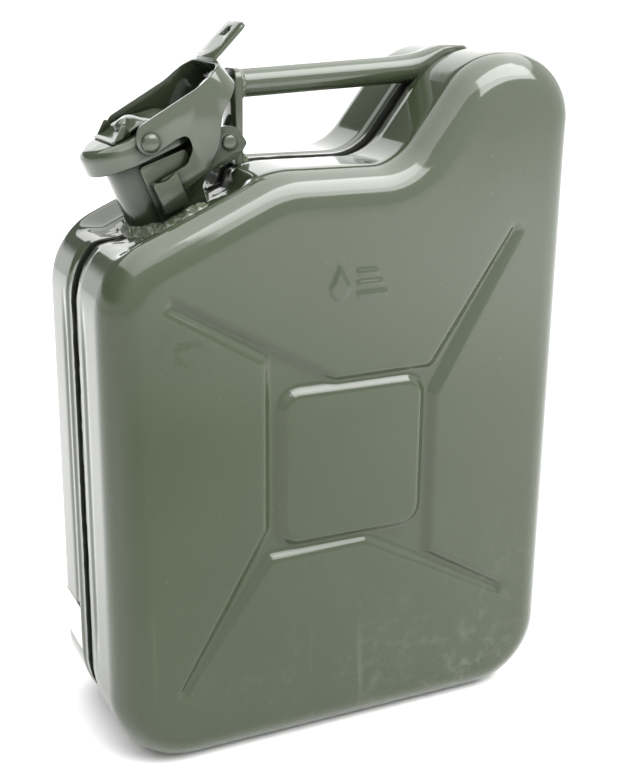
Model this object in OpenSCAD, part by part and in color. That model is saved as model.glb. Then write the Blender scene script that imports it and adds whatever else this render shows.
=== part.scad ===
// Ten-litre pressed-steel fuel can with a cam-lever spout cap.
// Frame: +X along the width towards the rear of the handle, -X towards the
// spout, -Y is one broad face, +Z up. The origin is the bottom centre.
// Millimetres.

/* [Body] */
// Width of the can, spout side to rear side
body_w = 280; // [276:1:284]
// Depth of the can across the two pressed shells
body_d = 125; // [122:1:128]
// Height of the shells at the rear hump
body_h = 394; // [392:1:396]
// Radius of the bottom corners seen from the front
corner_r = 45; // [40:1:50]
// Radius of the fillet between the side walls and the broad faces
fillet_r = 20; // [18:1:21]
// Sheet thickness of the shells
shell_t = 1; // [0.8:0.1:1.2]
// Depth of the groove that the seam lies in
seam_depth = 8; // [7.5:0.25:8.5]
// Half width of the seam groove
seam_half = 2.2; // [2:0.1:2.6]
// Depth of the dished seat around the spout
dish_depth = 8; // [7.9:0.1:8]

/* [Recess and shoulder] */
// Height of the hand recess floor
recess_z = 336; // [335:0.5:337]
// Slope of the shoulder that carries the spout
shoulder_a = 24.5; // [24.5:0.1:24.6]
// Radius of the concave sweep from the recess up to the hump
recess_r = 30; // [26:1:34]

/* [Panel pressing] */
// Half width of the raised square in the middle of each broad face
pad_half = 41; // [38:1:43]
// Half width over the groove around the square
groove_half = 54; // [52:1:56]
// Depth of the pressed groove and its four arms
groove_depth = 3.2; // [2:0.1:4]
// Height of the centre of the pressing
pad_z = 172; // [168:1:176]

/* [Spout] */
// Lean of the filler neck from the vertical
tilt = 22; // [22:0.1:22.1]
// Outer radius of the filler neck
neck_r = 21.2; // [21.2:0.1:21.3]
// Inner radius of the filler neck
neck_ri = 19.2; // [18.6:0.1:19.4]
// Radius of the two lever rivets
rivet_r = 2.5; // [2.3:0.05:2.5]
// Radius of the cap hinge pin
hinge_r = 3; // [2.8:0.05:3]
// Running clearance of the rivets and the hinge pin
run_fit = 0.06; // [0.04:0.01:0.08]
// Inner half width between the lever cheeks
cheek_y = 25.6; // [25.6:0.05:25.7]
// Sheet thickness of the lever
lever_t = 2; // [1.8:0.1:2]
// Radius of the padlock hole in the lever tab
lock_r = 3; // [2.5:0.1:3.5]

/* [Handle] */
// Outer radius of the carrying tube
grip_r = 7.75; // [7:0.25:8]
// Wall thickness of the carrying tube
grip_t = 1.5; // [1.2:0.1:2]
// Thickness of the strip that holds the tube's front end
leg_t = 4.5; // [4:0.25:4.5]
// Half width of that strip
leg_half = 10; // [9:0.5:11]

/* [Hidden] */
$fn = 48;

paint = [0.40, 0.44, 0.38];
paint_dark = [0.34, 0.38, 0.32];
weld_c = [0.52, 0.54, 0.48];

hw = body_w / 2;
hd = body_d / 2;

// ---- rounded outlines -------------------------------------------------
function unit(v) = v / norm(v);
function cross2(a, b) = a[0] * b[1] - a[1] * b[0];
// One rounded corner of a polygon. Each vertex is [x, z, radius, segments].
// d moves the curve inwards; every corner keeps its own centre, so curves
// at different d stay parallel.
function corner(p, v, q, d) =
    let (a = unit([p[0] - v[0], p[1] - v[1]]),
         b = unit([q[0] - v[0], q[1] - v[1]]),
         s = cross2(a, b) < 0 ? 1 : -1,
         half = acos(max(-1, min(1, a * b))) / 2,
         r = max(v[2], 0.01),
         c = [v[0], v[1]] + unit(a + b) * (r / sin(half)),
         n0 = s * [a[1], -a[0]] * -1,
         t0 = [v[0], v[1]] + a * (r / tan(half)),
         t1 = [v[0], v[1]] + b * (r / tan(half)),
         a0 = atan2(t0[1] - c[1], t0[0] - c[0]),
         a1 = atan2(t1[1] - c[1], t1[0] - c[0]),
         da = s > 0 ? (a1 - a0 < 0 ? a1 - a0 + 360 : a1 - a0)
                    : (a1 - a0 > 0 ? a1 - a0 - 360 : a1 - a0),
         rr = r - s * d,
         n = v[3])
    [for (i = [0:n]) c + rr * [cos(a0 + da * i / n), sin(a0 + da * i / n)]];
// The whole outline, counter-clockwise
function outline(vs, d = 0) =
    let (n = len(vs))
    [for (i = [0:n - 1]) each corner(vs[(i + n - 1) % n], vs[i], vs[(i + 1) % n], d)];

// ---- body outline -----------------------------------------------------
sh_k = tan(shoulder_a);
sh_x = -86;
sh_z = 316.5;
function shoulder_z(x) = sh_z + sh_k * (x - sh_x);
knee_x = sh_x + (recess_z - sh_z) / sh_k;
hump_a = 53;
hump_x = 75.4;
dip_x = hump_x - (body_h - recess_z) / tan(hump_a);
body_v = [[-hw, 0, corner_r, 8], [hw, 0, corner_r, 8],
          [hw, body_h, 38, 8], [hump_x, body_h, 45, 7],
          [dip_x, recess_z, recess_r, 6], [knee_x, recess_z, 60, 4],
          [-hw, shoulder_z(-hw), corner_r, 9]];
// Extra points where the seat around the spout starts and ends, and the long
// sides split so that their facets stay well shaped
function body_pts(d) =
    let (o = outline(body_v, d), n = len(o))
    [for (i = [0:n - 1])
        let (p = o[i], q = o[(i + 1) % n], l = norm(q - p),
             on_seat = p[1] > 280 && q[1] > 280 && p[0] < -40 && q[0] < -40,
             k = max(1, floor(l / (on_seat ? 12 : 50))))
        each [for (j = [0:k - 1]) p + (q - p) * j / k]];
N = len(body_pts(0));

function smooth(t) = let (c = max(0, min(1, t))) c * c * (3 - 2 * c);
// How far the seat around the spout is pressed in at a point of the outline
function seat(p, y) =
    p[1] < 200 || p[0] > -40 ? 0 :
    dish_depth * smooth((p[0] + 131) / 17) * smooth((-50 - p[0]) / 9)
               * smooth((50 - abs(y)) / 18);

B0 = body_pts(0);
B20 = body_pts(20);
// Unit normal of each outline point, pointing inwards
NRM = [for (i = [0:N - 1]) (B20[i] - B0[i]) / 20];
function ring(y, d) = [for (i = [0:N - 1])
    let (e = max(d, (d > dish_depth + 5 ? 0 : seat(B0[i], y)) + max(0, d - seam_depth)))
    let (p = B0[i] + NRM[i] * e) [p[0], y, p[1]]];
function ring_in(y, d, t) = [for (i = [0:N - 1])
    let (e = max(d, seat(B0[i], y) + t))
    let (p = B0[i] + NRM[i] * e) [p[0], y, p[1]]];

fa = [0, 22.5, 45, 67.5, 90];
outer_yd = concat(
    [[0, seam_depth], [-seam_half, seam_depth], [-seam_half - 0.3, 1.2],
     [-seam_half - 2, 0], [-14, 0], [-24, 0], [-32, 0], [-37.5, 0]],
    [for (a = fa) [-(hd - fillet_r) - fillet_r * sin(a), fillet_r - fillet_r * cos(a)]]);
inner_yd = concat(
    [[0, seam_depth + shell_t], [-seam_half - shell_t, seam_depth + shell_t],
     [-seam_half - 0.3 - shell_t, 1.2 + shell_t],
     [-seam_half - 2 - shell_t, shell_t], [-14, shell_t], [-24, shell_t],
     [-32, shell_t], [-37.5, shell_t]],
    [for (a = fa) [-(hd - fillet_r) - (fillet_r - shell_t) * sin(a),
                   fillet_r - (fillet_r - shell_t) * cos(a)]]);

// A closed tube of rings with a flat cap at each end
module ringed(rings) {
    n = len(rings[0]);
    m = len(rings);
    polyhedron(
        points = [for (r = rings) each r],
        faces = concat(
            [[for (i = [n - 1:-1:0]) i]],
            [[for (i = [0:n - 1]) (m - 1) * n + i]],
            [for (k = [0:m - 2]) for (i = [0:n - 1]) each
                let (j = (i + 1) % n, a = k * n, b = (k + 1) * n)
                [[a + i, a + j, b + i], [a + j, b + j, b + i]]]));
}

function shell_rings() = concat(
    [for (i = [len(outer_yd) - 1:-1:0]) ring(outer_yd[i][0], outer_yd[i][1])],
    [for (i = [0:len(inner_yd) - 1]) ring_in(inner_yd[i][0], inner_yd[i][1], shell_t)]);

module spout_frame() translate([px, 0, pz]) rotate([0, -tilt, 0]) children();
module neck_hole() spout_frame() translate([neck_u, 0, -75]) cylinder(r = neck_r + 0.1, h = 60);

// One layer of the pressed groove seen on the broad face: the X-shaped arms
// less the square in the middle, narrower the deeper it lies
groove_k = groove_half / 54;
groove_arm = [[-108, 101], [-9.5, 52.3], [48, 53.5], [104, 128], [54.2, 32.8], [54.5, -63.6]];
groove_out = concat(groove_arm, -1 * groove_arm);
groove_n = 4;
module groove_layer(k, grow = 0) translate([-0.5, pad_z]) difference() {
    offset(delta = grow - 5.4 * k / groove_n) scale(groove_k) polygon(groove_out);
    offset(delta = 5 * k / groove_n - grow) offset(r = 9) square(2 * (pad_half - 9), center = true);
}
// Those layers as blocks; y0 is the outer side, extra is the sheet behind
module groove_steps(y0, grow, extra) for (k = [0:groove_n - 1])
    translate([0, -hd + groove_depth * (k + 1) / groove_n + extra, 0]) rotate([90, 0, 0])
        linear_extrude(groove_depth * (k + 1) / groove_n + extra + y0) groove_layer(k, grow);

module shell_half() resize([0, 0, 0]) difference() {
    union() {
        ringed(shell_rings());
        groove_steps(-0.5, shell_t, shell_t);
    }
    groove_steps(1, 0, 0);
    neck_hole();
}

// ---- spout frame: u along the cap, v along the neck --------------------
px = -102.3;
pz = 349.8;
neck_u = -1;
rim_v = 1;
bu = 41;
bv = -18.7;
skirt_y = 25;
skirt_v0 = -8.5;
skirt_v1 = 4.6;
plate_y0 = 21;
plate_y1 = 23.5;
seat_v = -45;

module near_shell() color(paint) shell_half();
module far_shell() color(paint) mirror([0, 1, 0]) shell_half();

// Weld bead lying on the floor of the seam groove
module seam_weld() color(weld_c) difference() {
    ringed_loop([[1.5, seam_depth], [1.0, seam_depth - 1.1], [-1.0, seam_depth - 1.1], [-1.5, seam_depth]]);
    spout_frame() translate([neck_u, 0, -75]) cylinder(r = neck_r + 5.6, h = 60);
}
// A ring-shaped solid whose section is a list of [y, d] points
module ringed_loop(sec) {
    m = len(sec);
    pts = [for (s = sec) each [for (i = [0:N - 1]) let (p = B0[i] + NRM[i] * s[1]) [p[0], s[0], p[1]]]];
    polyhedron(points = pts,
        faces = [for (k = [0:m - 1]) for (i = [0:N - 1]) each
            let (j = (i + 1) % N, a = k * N, b = ((k + 1) % m) * N)
            [[a + i, b + i, a + j], [a + j, b + i, b + j]]]);
}

module filler_neck() color(paint) spout_frame() translate([neck_u, 0, 0])
    difference() {
        translate([0, 0, -54]) cylinder(r = neck_r, h = 54 + rim_v);
        translate([0, 0, -55]) cylinder(r = neck_ri, h = 60);
    }

// The flat floor of the seat, as a half space below it
module below_seat() translate([sh_x, 0, sh_z]) rotate([0, -shoulder_a, 0])
    translate([-150, -100, -dish_depth - 40]) cube([300, 200, 40]);

module neck_weld() color(weld_c) difference() {
    spout_frame() translate([neck_u, 0, 0]) rotate_extrude()
        polygon([[neck_r, -48], [neck_r + 5.4, -48], [neck_r + 5.2, -44.2],
                 [neck_r + 3.4, -42.6], [neck_r + 1.2, -41.2], [neck_r, -40.4]]);
    below_seat();
    spout_frame() for (s = [-1, 1])
        translate([-9.9, s > 0 ? plate_y0 - 0.1 : -plate_y1 - 0.1, -60])
            cube([27.5, plate_y1 - plate_y0 + 0.2, 40]);
}

// Thin tube along the inside of the neck that lets air back in while pouring
module breather_tube() color(paint_dark) spout_frame() translate([neck_u + 15.4, 0, 0])
    difference() {
        translate([0, 0, -72]) cylinder(r = 3.5, h = 66);
        translate([0, 0, -73]) cylinder(r = 2.7, h = 68);
    }

// ---- neck brackets ----------------------------------------------------
bracket_v = [[-9.8, -45.1, 1.5, 3], [17, -43.9, 2, 3], [18, -33, 5, 4],
             [25, -28.2, 6, 4], [42.5, -28.2, 5, 4], [50.2, -23, 2, 3],
             [47.4, -9.6, 8.3, 8], [33, -9.8, 6, 5], [25, -20.5, 5, 4],
             [18.5, -20, 4, 4], [16.5, -11.4, 2, 3], [-9.8, -10.2, 2, 3]];
module bracket(s) color(paint) spout_frame() difference() {
    union() {
        // plate that lies on the neck and carries the hinge ear
        translate([0, s > 0 ? plate_y1 : -plate_y0, 0]) rotate([90, 0, 0])
            linear_extrude(plate_y1 - plate_y0) polygon(outline(bracket_v));
        // pouch that the lever's foot drops behind, open at the top and rear
        translate([0, s > 0 ? 30 : -28.2, 0]) rotate([90, 0, 0])
            linear_extrude(1.8) polygon(outline(
                [[-7.6, -37, 1.5, 3], [6.1, -36.6, 1, 3], [6.3, -18.6, 1, 3],
                 [-0.6, -21.2, 9, 5], [-7.8, -19.4, 1, 3]]));
        translate([-7.6, s > 0 ? plate_y1 : -28.2, -36.2]) cube([1.6, 28.2 - plate_y1, 16.4]);
        translate([-7.6, s > 0 ? plate_y1 : -28.2, -37]) cube([13.7, 28.2 - plate_y1, 1.6]);
    }
    translate([neck_u, 0, -80]) cylinder(r = neck_r, h = 100);
    translate([bu, 40, bv]) rotate([90, 0, 0]) cylinder(r = hinge_r + 0.02, h = 80);
}
module near_neck_bracket() bracket(-1);
module far_neck_bracket() bracket(1);

// Headed pin through both ears
module hinge_pin() color(paint_dark) spout_frame() translate([bu, 0, bv]) rotate([90, 0, 0]) {
    cylinder(r = hinge_r, h = 2 * plate_y1, center = true);
    for (s = [0, 1]) mirror([0, 0, s]) translate([0, 0, plate_y1])
        rotate_extrude() polygon([[0, 0], [4.1, 0], [3.9, 0.7], [2.9, 1.3], [0, 1.6]]);
}

// ---- handle -----------------------------------------------------------
gx0 = -44;
gz0 = 376.2;
ga = 3.2;
gx1 = 52;
gz1 = gz0 + (gx1 - gx0) * tan(ga);
module body_block() translate([0, 60, 0]) rotate([90, 0, 0]) linear_extrude(120) polygon(B0);

module handle_tube() color(paint) intersection() {
    translate([gx0, 0, gz0]) rotate([0, 90 - ga, 0]) difference() {
        translate([0, 0, -5]) cylinder(r = grip_r, h = 130);
        translate([0, 0, -6]) cylinder(r = grip_r - grip_t, h = 132);
    }
    translate([gx0, -20, 300]) cube([gx1 - gx0, 40, 150]);
}
// The tube's rear end, pressed flat and bedded on the hump
module handle_rear_tongue() color(paint) difference() {
    union() {
        hull() {
            translate([gx1 + 0.5, 0, gz1]) rotate([0, 90, 0]) cylinder(r = grip_r, h = 1, center = true, $fn = 32);
            translate([66, 0, 383.2]) rotate([0, 80, 0]) cylinder(r = 7.9, h = 1, $fn = 32);
        }
        hull() {
            translate([66, 0, 383.2]) rotate([0, 80, 0]) cylinder(r = 7.9, h = 1, $fn = 32);
            translate([82, -8, 389.5]) cube([1, 16, 6.2]);
        }
        hull() {
            translate([82, -8, 389.5]) cube([1, 16, 6.2]);
            translate([97, -5, 392]) cube([2, 10, 3.6]);
        }
    }
    body_block();
}
module handle_front_leg() color(paint) difference() {
    translate([gx0 - leg_t, 0, 0]) rotate([90, 0, 90]) linear_extrude(leg_t)
        polygon(outline([[-leg_half, 325, 0.5, 2], [leg_half, 325, 0.5, 2],
                         [leg_half, 384.8, 6, 6], [-leg_half, 384.8, 6, 6]]));
    body_block();
}
// Fillet welds at the tube's front end, the strip's foot and the rear tongue
module handle_welds() color(weld_c) {
    difference() {
        intersection() {
            translate([gx0, 0, gz0]) rotate([0, 90 - ga, 0]) rotate_extrude()
                polygon([[grip_r, -2], [grip_r + 1.8, -2], [grip_r + 1.6, 0.9], [grip_r + 0.6, 2.4], [grip_r, 3]]);
            translate([gx0, -20, 300]) cube([20, 40, 150]);
        }
        translate([-100, -20, 383.9]) cube([200, 40, 20]);
    }
    for (s = [-1, 1]) difference() {
        translate([gx0, s > 0 ? 3.4 : -9.6, 0]) rotate([0, 0, 0])
            translate([0, 6.2, 0]) rotate([90, 0, 0]) linear_extrude(6.2)
            polygon([[0, 325], [3, 325], [2.8, 337.2], [1.4, 339], [0, 340]]);
        body_block();
    }
}

// Blank paper label on the spout-side wall
module blank_label() color([0.9, 0.9, 0.88]) translate([-hw - 0.25, 14, 46]) cube([0.25, 34, 27]);

// ---- cap --------------------------------------------------------------
cap_v = [[-31.8, -25, 24.6, 9], [23.5, -25, 12, 6], [23.5, 25, 12, 6], [-31.8, 25, 24.6, 9]];
cap_t = 1.5;
function cap_ring(d, v) = [for (p = outline(cap_v, d)) [p[0], p[1], v]];
cr = 6.4;
function cap_rings() = concat(
    [for (a = [0, 18, 36, 54, 72, 90]) cap_ring(cr - cr * sin(a), skirt_v1 - cr + cr * cos(a))],
    [cap_ring(0, skirt_v0)],
    [cap_ring(cap_t, skirt_v0)],
    [for (a = [90, 67.5, 45, 22.5, 0]) cap_ring(cr - (cr - cap_t) * sin(a), skirt_v1 - cr + (cr - cap_t) * cos(a))]);
module cap_pan() color(paint) spout_frame() difference() {
    mirror([0, 0, 1]) mirror([0, 0, 1]) ringed_flat(cap_rings());
    translate([0, 40, 0]) rotate([90, 0, 0]) cylinder(r = rivet_r + 0.02, h = 80);
    translate([-4, 0, 0]) cylinder(r = 2.52, h = 10);
}
// Rings stacked along v instead of y
module ringed_flat(rings) {
    n = len(rings[0]);
    m = len(rings);
    polyhedron(
        points = [for (r = rings) each r],
        faces = concat(
            [[for (i = [n - 1:-1:0]) i]],
            [[for (i = [0:n - 1]) (m - 1) * n + i]],
            [for (k = [0:m - 2]) for (i = [0:n - 1]) each
                let (j = (i + 1) % n, a = k * n, b = (k + 1) * n)
                [[a + i, a + j, b + i], [a + j, b + j, b + i]]]));
}

module cap_gasket() color([0.08, 0.08, 0.08]) spout_frame() translate([neck_u, 0, 0])
    rotate_extrude() polygon([[17.5, rim_v + 0.15], [21.4, rim_v + 0.15], [21.4, 1.4],
                              [20.8, 1.95], [19.8, 2.5], [18.8, 2.8], [17.9, 2.95], [17.5, 2.95]]);

// Centre line of the strap that runs over the cap back to the hinge
strap_t = 1.6;
strap_half = 17;
curl_r = hinge_r + run_fit;
strap_c = [[-16, skirt_v1 + 0.85], [-9, skirt_v1 + 1.1], [-4, 8], [0, 9.84], [2.6, 9.9],
           [6, 8.4], [11, 6.6], [16, 5.9], [20.5, 5.2], [24, 3.3], [28, 0.6], [35, -5.9],
           [40, -11.5], [43.9, -16.1]];
function seg_n(i) = let (a = strap_c[max(0, i - 1)], b = strap_c[min(len(strap_c) - 1, i + 1)],
                         t = unit(b - a)) [-t[1], t[0]];
strap_poly = concat(
    [for (i = [0:len(strap_c) - 1]) strap_c[i] + seg_n(i) * strap_t / 2],
    [for (i = [len(strap_c) - 1:-1:0]) strap_c[i] - seg_n(i) * strap_t / 2]);
fin_v = [[-16, 5, 0.6, 3], [-5.4, 6.8, 0.6, 3], [-6.8, 13, 1.3, 5]];
module cap_strap() color(paint) spout_frame() difference() {
    union() {
        translate([0, strap_half, 0]) rotate([90, 0, 0]) linear_extrude(2 * strap_half) polygon(strap_poly);
        translate([bu, 0, bv]) rotate([90, 0, 0]) cylinder(r = curl_r + strap_t, h = 2 * strap_half, center = true);
        for (s = [-1, 1]) translate([0, s > 0 ? strap_half : -strap_half + strap_t, 0]) rotate([90, 0, 0])
            linear_extrude(strap_t) polygon(outline(fin_v));
    }
    translate([bu, 0, bv]) rotate([90, 0, 0]) cylinder(r = curl_r, h = 60, center = true);
    translate([-4, 0, 0]) cylinder(r = 2.52, h = 20);
    // bedded on the flat top of the cap
    translate([-30, -40, -30]) cube([42, 80, 30 + skirt_v1]);
}
// Rivet that holds the strap down on the cap
module strap_rivet() color(paint_dark) spout_frame() {
    translate([-4, 0, skirt_v1 - cap_t]) cylinder(r = 2.5, h = 6.4);
    translate([-4.34, 0, 8.78]) rotate([0, -24.7, 0]) rotate_extrude()
        polygon([[0, 0], [4.2, 0], [3.9, 1.1], [2.6, 2.1], [0, 2.6]]);
}
// Two stub rivets that the lever turns on
module lever_rivets() color(paint_dark) spout_frame() for (s = [0, 1]) mirror([0, s, 0])
    rotate([90, 0, 0]) {
        translate([0, 0, skirt_y - cap_t]) cylinder(r = rivet_r, h = cheek_y + lever_t + 0.35 - skirt_y + cap_t);
        translate([0, 0, cheek_y + lever_t + 0.35]) rotate_extrude()
            polygon([[0, 0], [5.1, 0], [4.9, 0.9], [4.1, 1.8], [2.7, 2.5], [0, 2.9]]);
    }

// ---- lever ------------------------------------------------------------
// Side view of the lever in the can's own x and z
lever_v = [[-112, 343.9, 7.4, 6], [-100.6, 343.9, 5, 4], [-88.3, 351.3, 1.5, 2],
           [-82, 353.4, 3.4, 4], [-79, 346, 7, 4], [-82.5, 337.8, 6, 4],
           [-98.2, 330, 2.6, 4], [-94.8, 321.2, 3, 4], [-83.6, 324.8, 5, 4],
           [-71.8, 333.2, 9, 4], [-64.6, 347.5, 16, 4], [-62.8, 363, 12, 4],
           [-52.5, 380.4, 2.4, 4], [-60.2, 389.8, 1, 2], [-75.6, 377.1, 34, 4],
           [-108.6, 357.9, 7.4, 5]];
wall_a = 43.8;
wall_x = -52.5;
wall_z = 380.4;
u_r = 13;
module side_block(w) translate([0, w, 0]) rotate([90, 0, 0]) linear_extrude(2 * w) polygon(outline(lever_v));
// U-shaped tube of sheet, seen along the end wall
module u_wall(part) translate([wall_x, 0, wall_z]) rotate([0, -wall_a, 0]) {
    yo = cheek_y + lever_t;
    translate([0, 0, -60]) linear_extrude(120) difference() {
        polygon(outline(part == 0
            ? [[-140, -yo, 1, 2], [-u_r, -yo, 0.5, 2], [-u_r, yo, 0.5, 2], [-140, yo, 1, 2]]
            : [[-u_r, -yo, 0.02, 1], [0, -yo, u_r - 0.05, 8], [0, yo, u_r - 0.05, 8], [-u_r, yo, 0.02, 1]]));
        polygon(outline(part == 0
            ? [[-150, -cheek_y, 1, 2], [10, -cheek_y, 1, 2], [10, cheek_y, 1, 2], [-150, cheek_y, 1, 2]]
            : [[-u_r - 5, -cheek_y, 0.02, 1], [-lever_t, -cheek_y, u_r - lever_t, 8],
               [-lever_t, cheek_y, u_r - lever_t, 8], [-u_r - 5, cheek_y, 0.02, 1]]));
    }
}
module lever_cheeks() color(paint) difference() {
    for (s = [-1, 1]) intersection() {
        translate([0, s > 0 ? cheek_y + lever_t : -cheek_y, 0]) rotate([90, 0, 0])
            linear_extrude(lever_t) polygon(outline(lever_v));
        translate([wall_x, 0, wall_z]) rotate([0, -wall_a, 0])
            translate([-150, -50, -100]) cube([150 - u_r, 100, 200]);
    }
    spout_frame() rotate([90, 0, 0]) cylinder(r = rivet_r + run_fit, h = 80, center = true);
}
module lever_end_wall() color(paint) intersection() {
    side_block(cheek_y + lever_t);
    u_wall(1);
}
tab_a = 45;
tab_l = 25;
// Thumb tab folded back from the top of the end wall, with the padlock hole
module lever_tab() color(paint) translate([-60.2, 0, 389.8]) {
    translate([0.2, 0, 0.2]) rotate([0, -tab_a, 0]) difference() {
        linear_extrude(lever_t) polygon(outline(
            [[0, -13, 0.6, 2], [tab_l, -12.2, 3, 5], [tab_l, 12.2, 3, 5], [0, 13, 0.6, 2]]));
        translate([17.2, 0, -5]) cylinder(r = lock_r, h = 20);
    }
}

near_shell();
far_shell();
seam_weld();
filler_neck();
neck_weld();
breather_tube();
near_neck_bracket();
far_neck_bracket();
hinge_pin();
handle_tube();
handle_rear_tongue();
handle_front_leg();
handle_welds();
blank_label();
cap_pan();
cap_gasket();
cap_strap();
strap_rivet();
lever_rivets();
lever_cheeks();
lever_end_wall();
lever_tab();
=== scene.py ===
import math

import bmesh
import bpy
import numpy as np
from mathutils import Matrix, Vector, noise
from mathutils.geometry import delaunay_2d_cdt


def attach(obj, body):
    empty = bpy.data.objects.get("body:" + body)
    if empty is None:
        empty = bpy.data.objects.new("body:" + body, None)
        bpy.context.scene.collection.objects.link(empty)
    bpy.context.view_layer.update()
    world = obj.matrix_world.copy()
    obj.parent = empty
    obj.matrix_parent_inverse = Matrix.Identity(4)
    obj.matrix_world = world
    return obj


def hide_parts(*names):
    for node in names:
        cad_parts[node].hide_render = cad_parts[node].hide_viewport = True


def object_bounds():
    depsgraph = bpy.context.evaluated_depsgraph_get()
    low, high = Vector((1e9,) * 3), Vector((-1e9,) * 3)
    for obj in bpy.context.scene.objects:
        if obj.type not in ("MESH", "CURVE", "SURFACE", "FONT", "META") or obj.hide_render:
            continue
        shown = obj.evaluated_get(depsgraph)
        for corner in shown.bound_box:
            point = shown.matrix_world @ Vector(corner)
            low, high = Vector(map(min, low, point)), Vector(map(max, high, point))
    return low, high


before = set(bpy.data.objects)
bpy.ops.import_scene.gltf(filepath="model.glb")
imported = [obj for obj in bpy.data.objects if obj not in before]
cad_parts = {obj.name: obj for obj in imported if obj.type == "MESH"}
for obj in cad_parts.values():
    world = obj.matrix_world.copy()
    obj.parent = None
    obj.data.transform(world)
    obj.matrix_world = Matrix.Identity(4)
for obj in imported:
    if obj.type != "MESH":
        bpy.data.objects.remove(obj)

LO0, HI0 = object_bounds()
MM = 0.001

# ------------------------------------------------------------ shared numbers (mm)
HW, HD, BH = 140.0, 62.5, 394.0
FIL = 20.0
SH_A = math.radians(24.5)
SH_X, SH_Z = -86.0, 316.5
REC_Z = 336.0
SEAM_D, SEAM_H = 8.0, 2.2
TILT = math.radians(22.0)
PX, PZ = -102.3, 349.8
NECK_U, NECK_R, NECK_RI = -1.0, 21.2, 19.2
CT, ST = math.cos(TILT), math.sin(TILT)


def spout(u, y, v):
    """A point given in the spout's own frame, in the can's frame (mm)."""
    return (PX + u * CT - v * ST, y, PZ + u * ST + v * CT)


def sm(t):
    t = np.clip(t, 0.0, 1.0)
    return t * t * (3 - 2 * t)


def shoulder_z(x):
    return SH_Z + math.tan(SH_A) * (x - SH_X)


# ------------------------------------------------------------ outline of the body
KNEE_X = SH_X + (REC_Z - SH_Z) / math.tan(SH_A)
HUMP_X = 75.4
DIP_X = HUMP_X - (BH - REC_Z) / math.tan(math.radians(53))
CORNERS = [(-HW, 0, 45), (HW, 0, 45), (HW, BH, 38), (HUMP_X, BH, 45),
           (DIP_X, REC_Z, 30), (KNEE_X, REC_Z, 60), (-HW, shoulder_z(-HW), 45)]


def outline(corners, arc_step, line_step):
    """Points and inward normals of a rounded polygon, counter-clockwise."""
    n = len(corners)
    arcs = []
    for i in range(n):
        p, v, q = corners[i - 1], corners[i], corners[(i + 1) % n]
        a = Vector((p[0] - v[0], p[1] - v[1])).normalized()
        b = Vector((q[0] - v[0], q[1] - v[1])).normalized()
        s = 1 if a.x * b.y - a.y * b.x < 0 else -1
        half = math.acos(max(-1, min(1, a.dot(b)))) / 2
        r = v[2]
        c = Vector((v[0], v[1])) + (a + b).normalized() * (r / math.sin(half))
        t0 = Vector((v[0], v[1])) + a * (r / math.tan(half))
        t1 = Vector((v[0], v[1])) + b * (r / math.tan(half))
        a0 = math.atan2(t0.y - c.y, t0.x - c.x)
        a1 = math.atan2(t1.y - c.y, t1.x - c.x)
        da = a1 - a0
        if s > 0 and da < 0:
            da += 2 * math.pi
        if s < 0 and da > 0:
            da -= 2 * math.pi
        m = max(6, int(abs(da) * r / arc_step))
        pts, nrm = [], []
        for k in range(m + 1):
            t = a0 + da * k / m
            d = Vector((math.cos(t), math.sin(t)))
            pts.append(c + d * r)
            nrm.append(-d * s)
        arcs.append((pts, nrm))
    P, Nn = [], []
    for i in range(n):
        pts, nrm = arcs[i]
        P += pts
        Nn += nrm
        q, qn = arcs[(i + 1) % n][0][0], arcs[(i + 1) % n][1][0]
        e = q - pts[-1]
        k = max(1, int(e.length / line_step))
        for j in range(1, k):
            P.append(pts[-1] + e * (j / k))
            Nn.append(nrm[-1])
    return np.array([(p.x, p.y) for p in P]), np.array([(p.x, p.y) for p in Nn])


def make(name, verts, faces, mats, body, replaces=(), smooth=True, sharp=None):
    """A mesh object from points in millimetres."""
    me = bpy.data.meshes.new(name)
    me.from_pydata([tuple(c * MM for c in v) for v in verts], [], [tuple(f) for f in faces])
    me.validate()
    me.update()
    ob = bpy.data.objects.new(name, me)
    bpy.context.scene.collection.objects.link(ob)
    return dress(ob, mats, body, replaces, smooth, sharp)


def dress(ob, mats, body, replaces=(), smooth=True, sharp=None):
    me = ob.data
    me.materials.clear()
    for m in (mats if isinstance(mats, (list, tuple)) else [mats]):
        me.materials.append(m)
    if smooth:
        for p in me.polygons:
            p.use_smooth = True
        if sharp is not None:
            me.set_sharp_from_angle(angle=math.radians(sharp))
    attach(ob, body)
    if replaces:
        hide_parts(*replaces)
    return ob


def apply_mods(ob):
    dg = bpy.context.evaluated_depsgraph_get()
    me = bpy.data.meshes.new_from_object(ob.evaluated_get(dg))
    ob.modifiers.clear()
    old = ob.data
    ob.data = me
    me.name = old.name + "_m"
    return ob


# ------------------------------------------------------------ materials
def nodes(mat):
    mat.use_nodes = True
    nt = mat.node_tree
    nt.nodes.clear()
    out = nt.nodes.new("ShaderNodeOutputMaterial")
    b = nt.nodes.new("ShaderNodeBsdfPrincipled")
    nt.links.new(b.outputs[0], out.inputs[0])
    return nt, b


def N(nt, kind, **kw):
    n = nt.nodes.new(kind)
    for k, v in kw.items():
        setattr(n, k, v)
    return n


def noise_tex(nt, co, scale, detail=4.0, rough=0.55, dist=0.0, stretch=None):
    t = N(nt, "ShaderNodeTexNoise")
    t.inputs["Scale"].default_value = scale
    t.inputs["Detail"].default_value = detail
    t.inputs["Roughness"].default_value = rough
    t.inputs["Distortion"].default_value = dist
    src = co
    if stretch:
        m = N(nt, "ShaderNodeMapping")
        m.inputs["Scale"].default_value = stretch
        nt.links.new(co, m.inputs[0])
        src = m.outputs[0]
    nt.links.new(src, t.inputs["Vector"])
    return t.outputs["Fac"]


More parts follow.
